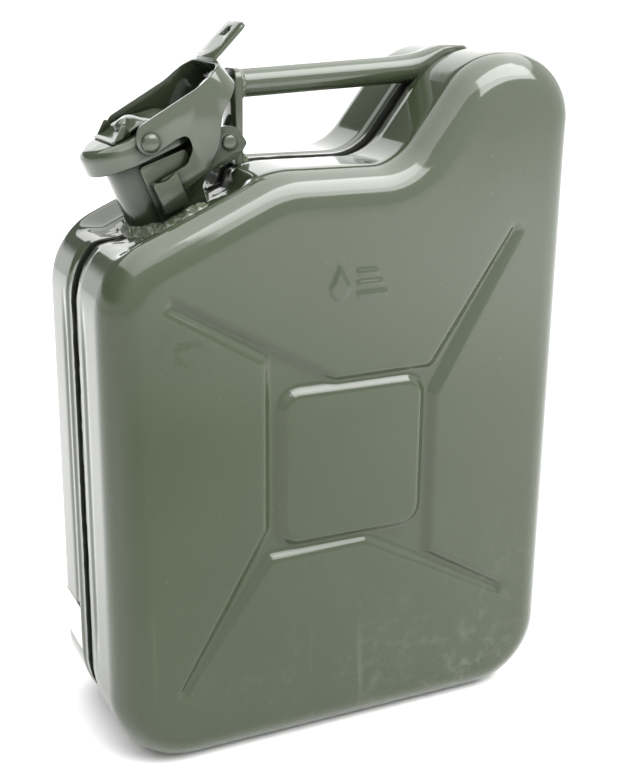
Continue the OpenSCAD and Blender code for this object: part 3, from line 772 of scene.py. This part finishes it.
# ------------------------------------------------------------ weld round the neck
def neck_bead():
    n, V, F = 300, [], []
    R = []
    for i in range(n):
        t = 2 * math.pi * i / n
        c, s = math.cos(t), math.sin(t)
        r = 21.2
        if abs(s) > 1e-3:
            uu = 23.5 * c / abs(s)
            if -8.8 <= uu <= 18:
                r = 23.5 / abs(s)
        R.append(r)
    R = np.array(R)
    w = np.exp(-0.5 * (np.arange(-14, 15) / 4.5) ** 2)
    w /= w.sum()
    R = sum(w[k] * np.roll(R, k - 14) for k in range(29))
    sec = [(-2.2, -1.0), (-2.2, 2.6), (-0.4, 3.9), (0.5, 4.0), (1.5, 3.3), (2.6, 2.4), (3.7, 1.6), (4.7, 0.6), (5.2, -0.8), (5.0, -2.0)]
    m = len(sec)
    for i in range(n):
        t = 2 * math.pi * i / n
        c, s = math.cos(t), math.sin(t)
        for a, b in sec:
            x0, y0 = c * (R[i] + a), s * (R[i] + a)
            k = 0.55 * h3(x0, y0, b, 0.16, 11) + 0.55 * h3(x0, y0, b, 0.42, 12) + 0.25 * h3(x0, y0, b, 1.0, 13)
            g = 1.0 if a > -2 else 0.0
            rr = R[i] + a * (1 + 0.30 * h3(c * 20, s * 20, 0, 0.11, 14)) + g * k * 1.2
            u, y = NECK_U + rr * c, rr * s
            v = -45 + 0.0437 * (u + 1) + b * (1 + 0.25 * h3(c * 20, s * 20, 4, 0.13, 15)) + g * k * 1.1
            V.append(spout(u, y, v))
    for i in range(n):
        j = (i + 1) % n
        for k in range(m):
            l = (k + 1) % m
            F.append((i * m + k, i * m + l, j * m + l, j * m + k))
    # spatter beads thrown on the plates and the seat
    rng = np.random.default_rng(11)
    for _ in range(46):
        t = rng.uniform(0, 2 * math.pi)
        r = rng.uniform(27.5, 36)
        u, y = NECK_U + r * math.cos(t), r * math.sin(t)
        if u < -30 or u > 33 or abs(y) > 30:
            continue
        s = rng.uniform(0.25, 0.75)
        q = Vector(spout(u, y, -45 + 0.0437 * (u + 1) + 0.1 * s))
        b = len(V)
        ico = bmesh.new()
        bmesh.ops.create_icosphere(ico, subdivisions=1, radius=s)
        ico.verts.ensure_lookup_table()
        V += [tuple(q + v.co) for v in ico.verts]
        F += [tuple(b + v.index for v in f.verts) for f in ico.faces]
        ico.free()
    return fix_normals(make("neck_weld_bead", V, F, M_WELD, "can", ("neck_weld",)))


neck_bead()

# ------------------------------------------------------------ cap pan
CAPV = [(-31.8, -25, 24.6), (23.5, -25, 12), (23.5, 25, 12), (-31.8, 25, 24.6)]


def cap_pan():
    P, Q = outline(CAPV, 1.2, 2.5)
    n = len(P)
    cr, v1, v0, t = 6.4, 4.6, -8.5, 1.5
    sec = [(cr + 6, v1 + 0.25)] + [(cr - cr * math.sin(a), v1 - cr + cr * math.cos(a)) for a in (math.pi / 2 * k / 12 for k in range(13))]
    sec += [(0.0, -4.0), (0.0, -6.5), (-0.05, v0 + 0.5), (0.2, v0 + 0.1), (0.6, v0 - 0.05), (1.1, v0 + 0.05), (t, v0 + 0.4), (t, -4.0)]
    sec += [(cr - (cr - t) * math.sin(a), v1 - cr + (cr - t) * math.cos(a)) for a in (math.pi / 2 * k / 6 for k in range(6, -1, -1))]
    V, F = [], []
    for d, v in sec:
        for i in range(n):
            q = P[i] + Q[i] * d
            k = 0.12 * h3(q[0], q[1], v, 0.12, 21)
            V.append(spout(q[0] - Q[i][0] * k, q[1] - Q[i][1] * k, v + (k if d > 1 else 0)))
    m = len(sec)
    for k in range(m - 1):
        for i in range(n):
            j = (i + 1) % n
            F.append((k * n + i, k * n + j, (k + 1) * n + j, (k + 1) * n + i))
    F.append(tuple(range(n)))
    F.append(tuple((m - 1) * n + i for i in range(n - 1, -1, -1)))
    return fix_normals(make("pressed_cap", V, F, M_TRIM, "cap", ("cap_pan",), True, 40))


cap_pan()

# ------------------------------------------------------------ strap over the cap
STRAP = [(-16.6, 5.4), (-10, 5.6), (-4, 8.0), (0, 9.84), (2.6, 9.9), (6, 8.4), (11, 6.6), (16, 5.9), (20.5, 5.2), (24, 3.3), (28, 0.6), (35, -5.9), (40, -11.5), (43.9, -16.1)]


def catmull(pts, per):
    out = []
    P = [pts[0]] + list(pts) + [pts[-1]]
    for i in range(1, len(P) - 2):
        p0, p1, p2, p3 = (np.array(P[i + k], float) for k in (-1, 0, 1, 2))
        for k in range(per):
            t = k / per
            out.append(0.5 * (2 * p1 + (p2 - p0) * t + (2 * p0 - 5 * p1 + 4 * p2 - p3) * t * t + (3 * p1 - p0 - 3 * p2 + p3) * t ** 3))
    out.append(np.array(pts[-1], float))
    return out


def strap():
    line = catmull(STRAP, 4)
    # the rear end is rolled round the hinge pin
    bu, bv, cr = 41.0, -18.7, 3.86
    a0 = math.atan2(line[-1][1] - bv, line[-1][0] - bu)
    curl = [np.array((bu + cr * math.cos(a0 - math.radians(a)), bv + cr * math.sin(a0 - math.radians(a)))) for a in range(12, 300, 12)]
    line = line + curl
    n = len(line)
    ys = np.linspace(-17, 17, 25)
    V, F = [], []
    t = 0.8
    rows = []
    for i, p in enumerate(line):
        a, b = line[max(0, i - 1)], line[min(n - 1, i + 1)]
        d = (b - a) / np.linalg.norm(b - a)
        nv = np.array((-d[1], d[0]))
        crown = 1.5 * math.exp(-((p[0] - 1.5) / 4.5) ** 2) if i < len(line) - len(curl) else 0.0
        row = []
        for s in (1, -1):
            for y in ys:
                e = 0.45 - 1.9 * (abs(y) / 17.0) ** 2
                edge = max(0.0, abs(y) - 16.2) / 0.8
                off = s * t * (1.0 if edge <= 0 else 0.8)
                k = crown * e
                q = p + nv * (off + k)
                yy = y
                row.append(spout(q[0], yy, q[1]))
        rows.append(row)
    m = 2 * len(ys)
    for r in rows:
        V += r
    L = len(ys)
    for i in range(n - 1):
        for k in range(L - 1):
            F.append((i * m + k, i * m + k + 1, (i + 1) * m + k + 1, (i + 1) * m + k))
            F.append((i * m + L + k + 1, i * m + L + k, (i + 1) * m + L + k, (i + 1) * m + L + k + 1))
        F.append((i * m + L, i * m, (i + 1) * m, (i + 1) * m + L))
        F.append((i * m + L - 1, i * m + m - 1, (i + 1) * m + m - 1, (i + 1) * m + L - 1))
    for i in (0, n - 1):
        for k in range(L - 1):
            F.append((i * m + k, i * m + L + k, i * m + L + k + 1, i * m + k + 1))
    me = bpy.data.meshes.new("strap")
    me.from_pydata([tuple(c * MM for c in v) for v in V], [], F)
    ob = bpy.data.objects.new("cap_strap_plate", me)
    bpy.context.scene.collection.objects.link(ob)
    fix_normals(ob)
    md = ob.modifiers.new("e", "BEVEL")
    md.width = 0.35 * MM
    md.segments = 2
    md.limit_method = "ANGLE"
    md.angle_limit = math.radians(50)
    apply_mods(ob)
    fins = [(-16.8, 4.2, 0.6), (-5.2, 5.6, 0.6), (-6.8, 12.6, 1.3)]
    fp, _ = outline(fins, 0.4, 3.0)
    fobs = []
    for s in (-1, 1):
        f = prism("fin", [tuple(p) for p in fp], lambda p, q, w: spout(p, w, q), s * 15.4, s * 17.0)
        soften(f, 0.3, 2)
        fobs.append(f)
    bm = bmesh.new()
    bm.from_mesh(ob.data)
    for f in fobs:
        bm.from_mesh(f.data)
        bpy.data.objects.remove(f)
    bm.to_mesh(ob.data)
    bm.free()
    return dress(ob, M_TRIM, "cap", ("cap_strap",), True, 40)


strap()

SP_U = (CT, 0, ST)
SP_V = (-ST, 0, CT)
n_s = Vector((math.cos(math.radians(22 + 24.7 + 90)), 0, math.sin(math.radians(22 + 24.7 + 90))))
dome = [(0.02, -0.2), (4.2, -0.2), (4.3, 0.15), (4.15, 0.75), (3.7, 1.35), (2.9, 1.95), (1.9, 2.4), (0.9, 2.58), (0.02, 2.62)]
lathe("strap_rivet_head", dome, Vector(spout(-4.34, 0, 8.80)), n_s, M_RIVET, "cap", ("strap_rivet",))
big = [(2.5, -3.6), (2.5, -0.1), (4.9, -0.1), (5.15, 0.12), (5.1, 0.6), (4.75, 1.35), (4.0, 2.05), (2.9, 2.55), (1.6, 2.82), (0.02, 2.9)]
lathe("lever_rivet_heads", big, [(Vector(spout(0, s * 27.95, 0)), (0, s, 0)) for s in (-1, 1)], None, M_RIVET, "cap", ("lever_rivets",))
pin = [(3.0, -23.5), (3.0, -0.02), (3.95, -0.02), (4.15, 0.2), (4.05, 0.7), (3.5, 1.2), (2.4, 1.5), (0.02, 1.6)]
lathe("hinge_pin_heads", pin, [(Vector(spout(41, s * 23.5, -18.7)), (0, s, 0)) for s in (-1, 1)], None, M_RIVET, "can", ("hinge_pin",))

# ------------------------------------------------------------ lever, one folded sheet
LEV = [(-112, 343.9, 7.4), (-100.6, 343.9, 5), (-88.3, 351.3, 1.5), (-82, 353.4, 3.4), (-79, 346, 7), (-82.5, 337.8, 6),
       (-98.2, 330, 2.6), (-94.8, 321.2, 3), (-83.6, 324.8, 5), (-71.8, 333.2, 9), (-64.6, 347.5, 16), (-62.8, 363, 12),
       (-52.5, 380.4, 2.4), (-60.2, 389.8, 1), (-75.6, 377.1, 34), (-108.6, 357.9, 7.4)]


def lever():
    side, _ = outline(LEV, 1.0, 4.0)
    blk = prism("lever_sheet", [tuple(p) for p in side], lambda p, q, w: (p, w, q), -40, 40)
    wa = math.radians(43.8)
    yo, yi, ur = 27.6, 25.6, 13.0
    m = 14
    out = [(-140, -yo)] + [(-ur + ur * math.sin(a), -yo + ur - ur * math.cos(a)) for a in (math.pi / 2 * k / m for k in range(m + 1))]
    out += [(-ur + ur * math.cos(a), yo - ur + ur * math.sin(a)) for a in (math.pi / 2 * k / m for k in range(m + 1))] + [(-140, yo)]
    ri = ur - 2.0
    inn = [(-140, yi)] + [(-ur + ri * math.cos(a), yi - ri + ri * math.sin(a)) for a in (math.pi / 2 * k / m for k in range(m, -1, -1))]
    inn += [(-ur + ri * math.sin(a), -yi + ri - ri * math.cos(a)) for a in (math.pi / 2 * k / m for k in range(m, -1, -1))] + [(-140, -yi)]

    def place(p, q, w):
        x, z = math.cos(wa) * p - math.sin(wa) * w, math.sin(wa) * p + math.cos(wa) * w
        return (-52.5 + x, q, 380.4 + z)

    tube = prism("lever_u", out + inn, place, -60, 60)
    boolean(blk, tube, "INTERSECT")
    # tab: a bent tongue growing out of the end wall's top edge
    sec = []
    a_wall = math.radians(43.8 + 90)          # up along the end wall
    e = np.array((math.cos(a_wall), math.sin(a_wall)))
    o = np.array((-60.2 - 1.0 * math.cos(wa) + 0.0, 389.8 - 1.0 * math.sin(wa)))
    t0 = o - e * 4.0
    t45 = np.array((math.cos(math.radians(45)), math.sin(math.radians(45))))
    # the fold turns from the wall's direction to the tab's direction
    path = [t0, o - e * 1.2]
    c1 = o + e * 0.2
    path += [c1, o + e * 0.95 + t45 * 0.7, np.array((-60.2, 389.8)) + t45 * 1.6 + e * 1.2]
    tip = np.array((-60.2 + 0.2, 389.8 + 0.2)) + e * 1.0
    for s in (4, 7, 10, 13, 16, 19, 21.5, 23.0, 24.2, 24.9):
        path.append(tip + t45 * s)
    n = len(path)
    V, F = [], []
    L = 13
    for i, p in enumerate(path):
        a, b = path[max(0, i - 1)], path[min(n - 1, i + 1)]
        d = (b - a) / np.linalg.norm(b - a)
        nv = np.array((-d[1], d[0]))
        s = max(0.0, float((p - tip) @ t45))
        hw = 13.0 - 0.8 * s / 25.0
        if s > 20.0:
            hw -= 3.6 * (1 - math.sqrt(max(0.0, 1 - ((s - 20.0) / 5.0) ** 2)))
        if i < 2:
            hw = 13.0
        for sd in (1, -1):
            for k in range(L):
                y = -hw + 2 * hw * k / (L - 1)
                q = p + nv * sd * 1.0
                V.append((q[0], y, q[1]))
    m2 = 2 * L
    for i in range(n - 1):
        for k in range(L - 1):
            F.append((i * m2 + k, i * m2 + k + 1, (i + 1) * m2 + k + 1, (i + 1) * m2 + k))
            F.append((i * m2 + L + k + 1, i * m2 + L + k, (i + 1) * m2 + L + k, (i + 1) * m2 + L + k + 1))
        F.append((i * m2 + L, i * m2, (i + 1) * m2, (i + 1) * m2 + L))
        F.append((i * m2 + L - 1, i * m2 + m2 - 1, (i + 1) * m2 + m2 - 1, (i + 1) * m2 + L - 1))
    for i in (0, n - 1):
        for k in range(L - 1):
            F.append((i * m2 + k, i * m2 + L + k, i * m2 + L + k + 1, i * m2 + k + 1))
    me = bpy.data.meshes.new("tab")
    me.from_pydata([tuple(c * MM for c in v) for v in V], [], F)
    tab = bpy.data.objects.new("tab", me)
    bpy.context.scene.collection.objects.link(tab)
    fix_normals(tab)
    h = np.array((-60.2 + 0.2, 389.8 + 0.2)) + t45 * 17.2
    nh = np.array((-t45[1], t45[0]))
    hole = prism("hole", [(3.0 * math.cos(2 * math.pi * k / 40), 3.0 * math.sin(2 * math.pi * k / 40)) for k in range(40)],
                 lambda p, q, w: (h[0] + t45[0] * p + nh[0] * w, q, h[1] + t45[1] * p + nh[1] * w), -6, 8)
    boolean(tab, hole, "DIFFERENCE")
    boolean(blk, tab, "UNION")
    soften(blk, 0.42, 2, 30, 42)
    return dress(blk, M_TRIM, "lever", ("lever_cheeks", "lever_end_wall", "lever_tab"), smooth=False)


lever()

plate(["near_neck_bracket"], "near_bracket_plate", M_TRIM, "can", 0.4)
plate(["far_neck_bracket"], "far_bracket_plate", M_TRIM, "can", 0.4)
plate(["handle_front_leg"], "handle_leg_strip", M_HANDLE, "can", 0.8, 3)


# ------------------------------------------------------------ handle, one tube with a flattened rear end
def handle():
    k = math.tan(math.radians(3.2))
    secs = []
    for x in np.linspace(-45, 51, 34):
        secs.append((x, 376.2 + (x + 44) * k, 7.75, 7.75, 2.0, 3.2))
    secs += [(53.5, 381.75, 7.75, 7.75, 2.0, 4), (57, 382.0, 7.8, 7.8, 2.0, 6), (62, 382.5, 7.85, 7.85, 2.0, 9), (66.5, 383.4, 7.7, 8.0, 2.1, 12),
             (70, 385.1, 6.8, 8.2, 2.2, 20), (74, 387.6, 5.5, 8.4, 2.5, 28), (78, 390.2, 4.2, 8.4, 2.9, 26), (82, 392.2, 3.3, 8.1, 3.4, 16),
             (86, 393.0, 2.8, 7.6, 3.6, 6), (90, 393.3, 2.5, 7.0, 3.6, 2), (94, 393.5, 2.2, 6.2, 3.4, 0), (97, 393.6, 1.9, 5.3, 3.0, 0), (98.6, 393.6, 1.4, 4.2, 2.6, 0), (99.2, 393.5, 0.7, 2.6, 2.2, 0)]
    m = 44
    V, F = [], []
    for x, z, hh, hy, p, tilt in secs:
        t = math.radians(tilt)
        for i in range(m):
            a = 2 * math.pi * i / m
            c, s = math.cos(a), math.sin(a)
            cy = hy * math.copysign(abs(c) ** (2 / p), c)
            cz = hh * math.copysign(abs(s) ** (2 / p), s)
            j = 0.06 * h3(x, cy, cz, 0.07, 31)
            V.append((x - cz * math.sin(t), cy * (1 + j / 8), z + cz * math.cos(t) + j))
    n = len(secs)
    for i in range(n - 1):
        for q in range(m):
            r = (q + 1) % m
            F.append((i * m + q, i * m + r, (i + 1) * m + r, (i + 1) * m + q))
    F.append(tuple(range(m)))
    F.append(tuple((n - 1) * m + q for q in range(m)))
    return fix_normals(make("carrying_handle", V, F, M_HANDLE, "can", ("handle_tube", "handle_rear_tongue"), True, 50))


handle()
lumpy(["handle_welds"], "handle_weld_beads", M_WELD, "can", 0.4, 0.35, 0.5, 41)


# ------------------------------------------------------------ label
def label():
    ny, nz = 24, 18
    V, F = [], []
    for j in range(nz + 1):
        for i in range(ny + 1):
            y, z = 14 + 34 * i / ny, 46 + 27 * j / nz
            drop = FIL - math.sqrt(max(0.0, FIL ** 2 - max(0.0, y - (HD - FIL)) ** 2))
            w = 0.10 * h3(0, y, z, 0.12, 51)
            V.append((-140.22 + drop - abs(w), y, z))
    top = len(V)
    V += [(v[0] + 0.2, v[1], v[2]) for v in V]
    for j in range(nz):
        for i in range(ny):
            a = j * (ny + 1) + i
            F.append((a, a + ny + 1, a + ny + 2, a + 1))
            F.append((top + a, top + a + 1, top + a + ny + 2, top + a + ny + 1))
    ring = [i for i in range(ny + 1)] + [j * (ny + 1) + ny for j in range(1, nz + 1)] + \
           [nz * (ny + 1) + i for i in range(ny - 1, -1, -1)] + [j * (ny + 1) for j in range(nz - 1, 0, -1)]
    for a, b in zip(ring, ring[1:] + ring[:1]):
        F.append((a, b, top + b, top + a))
    return fix_normals(make("blank_paper_label", V, F, M_LABEL, "can", ("blank_label",), True, 40))


label()

# ------------------------------------------------------------ CAD nodes that show as they are
for name, mat in (("filler_neck", M_TRIM), ("breather_tube", M_TRIM), ("cap_gasket", M_RUB)):
    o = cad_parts[name]
    o.data.materials.clear()
    o.data.materials.append(mat)

# ------------------------------------------------------------ camera
phi, eps, roll = math.radians(24.97), math.radians(19.02), math.radians(0.55)
dist, tx, ty, foc = 0.779, -13.7, 30.3, 1289.0
c = Vector((-math.sin(phi) * math.cos(eps), -math.cos(phi) * math.cos(eps), math.sin(eps)))
r0 = Vector((math.cos(phi), -math.sin(phi), 0))
u0 = c.cross(r0)
if u0.z < 0:
    u0 = -u0
Rv = r0 * math.cos(roll) + u0 * math.sin(roll)
Uv = u0 * math.cos(roll) - r0 * math.sin(roll)
pos = Vector((0, 0, 0.18)) + c * dist
fwd = (-c - Rv * (tx / foc) + Uv * (ty / foc)).normalized()
R2 = (Rv - fwd * Rv.dot(fwd)).normalized()
U2 = R2.cross(fwd)
cam_data = bpy.data.cameras.new("camera")
cam = bpy.data.objects.new("camera", cam_data)
bpy.context.scene.collection.objects.link(cam)
cam.matrix_world = Matrix(((R2.x, U2.x, -fwd.x, pos.x), (R2.y, U2.y, -fwd.y, pos.y), (R2.z, U2.z, -fwd.z, pos.z), (0, 0, 0, 1)))
cam_data.sensor_width = 36
cam_data.sensor_fit = "AUTO"
cam_data.lens = foc * 36 / 768
cam_data.clip_start = 0.02
cam_data.clip_end = 60
bpy.context.scene.camera = cam

# ------------------------------------------------------------ floor and light
fm = bpy.data.materials.new("pale_floor")
nt, b = nodes(fm)
co = N(nt, "ShaderNodeTexCoord").outputs["Object"]
fn = noise_tex(nt, co, 2.0, 2.0)
nt.links.new(mix_c(nt, fn, (0.90, 0.90, 0.90), (0.93, 0.93, 0.93)), b.inputs["Base Color"])
b.inputs["Roughness"].default_value = 0.9
b.inputs["Specular IOR Level"].default_value = 0.1
me = bpy.data.meshes.new("floor")
me.from_pydata([(3.4 * math.cos(math.pi * k / 32), 3.4 * math.sin(math.pi * k / 32), 0) for k in range(64)], [], [tuple(range(64))])
floor = bpy.data.objects.new("floor", me)
floor.location.z = LO0.z - 0.0002
me.materials.append(fm)
bpy.context.scene.collection.objects.link(floor)

world = bpy.data.worlds.new("studio")
bpy.context.scene.world = world
world.use_nodes = True
wt = world.node_tree
bg = next(n for n in wt.nodes if n.type == "BACKGROUND")
# a bright band round the horizon and a dim room above it
wc = N(wt, "ShaderNodeTexCoord")
ws = N(wt, "ShaderNodeSeparateXYZ")
wt.links.new(wc.outputs["Generated"], ws.inputs[0])
band = ramp(wt, math_n(wt, "ADD", math_n(wt, "MULTIPLY", ws.outputs["Z"], 0.5), 0.5), [(0.54, 0.0), (0.58, 1.0)])
side = math_n(wt, "ADD", math_n(wt, "MULTIPLY", ws.outputs["X"], -0.55), math_n(wt, "MULTIPLY", ws.outputs["Y"], 0.83))
side = math_n(wt, "ADD", math_n(wt, "MULTIPLY", side, 0.5), 0.5)
room = ramp(wt, side, [(0.34, 1.0), (0.5, 0.55), (0.70, 0.12)])
wt.links.new(mix_c(wt, band, (1.0, 1.0, 1.0), room), bg.inputs[0])
bg.inputs[1].default_value = 1.35


def area(name, loc, aim, sx, sy, power, color=(1, 1, 1)):
    ld = bpy.data.lights.new(name, "AREA")
    ld.shape = "RECTANGLE"
    ld.size, ld.size_y = sx, sy
    ld.energy = power
    ld.color = color
    lo = bpy.data.objects.new(name, ld)
    lo.location = loc
    lo.rotation_mode = "QUATERNION"
    lo.rotation_quaternion = (Vector(aim) - Vector(loc)).to_track_quat("-Z", "Y")
    bpy.context.scene.collection.objects.link(lo)
    return lo


area("overhead", (0, 0, 4.0), (0, 0, 0), 8.0, 8.0, 440)
area("front_box", (0.6, -1.15, 1.75), (0.1, -0.1, 0.15), 1.8, 1.6, 50)
area("back_panel", (1.15, 2.5, 1.25), (0, 0, 0.35), 3.4, 1.7, 27)

bpy.context.scene.view_settings.view_transform = "Standard"
bpy.context.scene.view_settings.look = "None"
